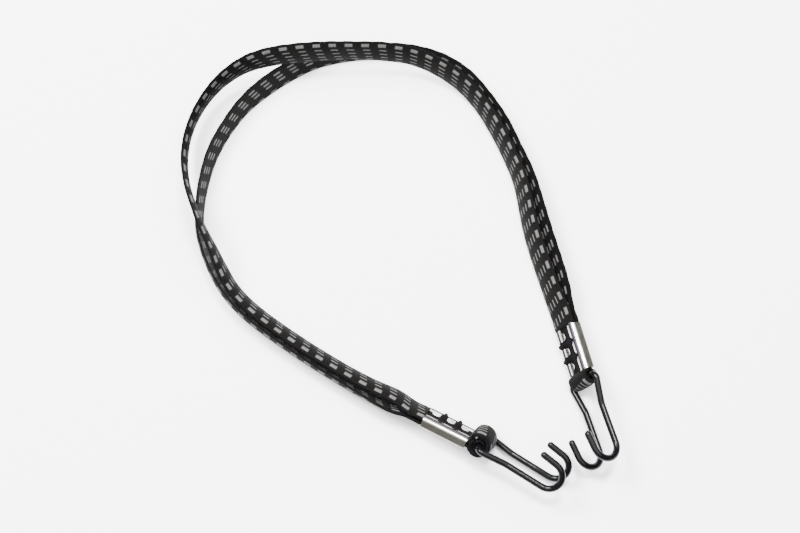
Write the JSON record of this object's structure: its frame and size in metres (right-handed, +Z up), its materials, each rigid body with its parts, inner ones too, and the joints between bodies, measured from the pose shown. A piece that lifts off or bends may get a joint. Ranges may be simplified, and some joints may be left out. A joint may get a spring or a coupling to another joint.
{
  "type": "bungee cord",
  "caption": "Flat elastic luggage strap with parallel woven strands, a toothed metal clip at each end and a coated double wire hook that swings in the folded band.",
  "frame": {"origin": "on the surface that the strap lies on, below the middle of the box round the two end fittings", "axes": "+Z up from the surface, +Y from the end fittings toward the far bend of the strands, +X from the left end toward the right end"},
  "size_m": [0.2142, 0.2305, 0.0307],
  "materials": {
    "woven_band": "black woven elastic with rows of light grey dashes",
    "rubber_thread": "natural latex thread",
    "plated_sheet": "bright zinc plated sheet steel",
    "coated_wire": "glossy black coating"
  },
  "bodies": {
    "strap": {"right_clip": "plated_sheet", "right_band_loop": "woven_band", "left_clip": "plated_sheet", "left_band_loop": "woven_band", "inner_strand_cover": "woven_band", "inner_strand_thread_1": "rubber_thread", "inner_strand_thread_2": "rubber_thread", "inner_strand_thread_3": "rubber_thread", "inner_strand_thread_4": "rubber_thread", "inner_strand_thread_5": "rubber_thread", "inner_strand_thread_6": "rubber_thread", "outer_strand_cover": "woven_band", "outer_strand_thread_1": "rubber_thread", "outer_strand_thread_2": "rubber_thread", "outer_strand_thread_3": "rubber_thread", "outer_strand_thread_4": "rubber_thread", "outer_strand_thread_5": "rubber_thread", "outer_strand_thread_6": "rubber_thread"},
    "right_hook": {"right_hook": "coated_wire"},
    "left_hook": {"left_hook": "coated_wire"}
  },
  "joints": [
    {"name": "right_hook_swing", "type": "hinge", "parent": "strap", "child": "right_hook", "pos_m": [0.0317, 0.0142, 0.0095], "axis": [-0.5131, -0.1878, -0.8375], "range_deg": [-100, 55]},
    {"name": "left_hook_swing", "type": "hinge", "parent": "strap", "child": "left_hook", "pos_m": [-0.0177, -0.0172, 0.0102], "axis": [0.3082, 0.5021, -0.8081], "range_deg": [-100, 100]}
  ]
}
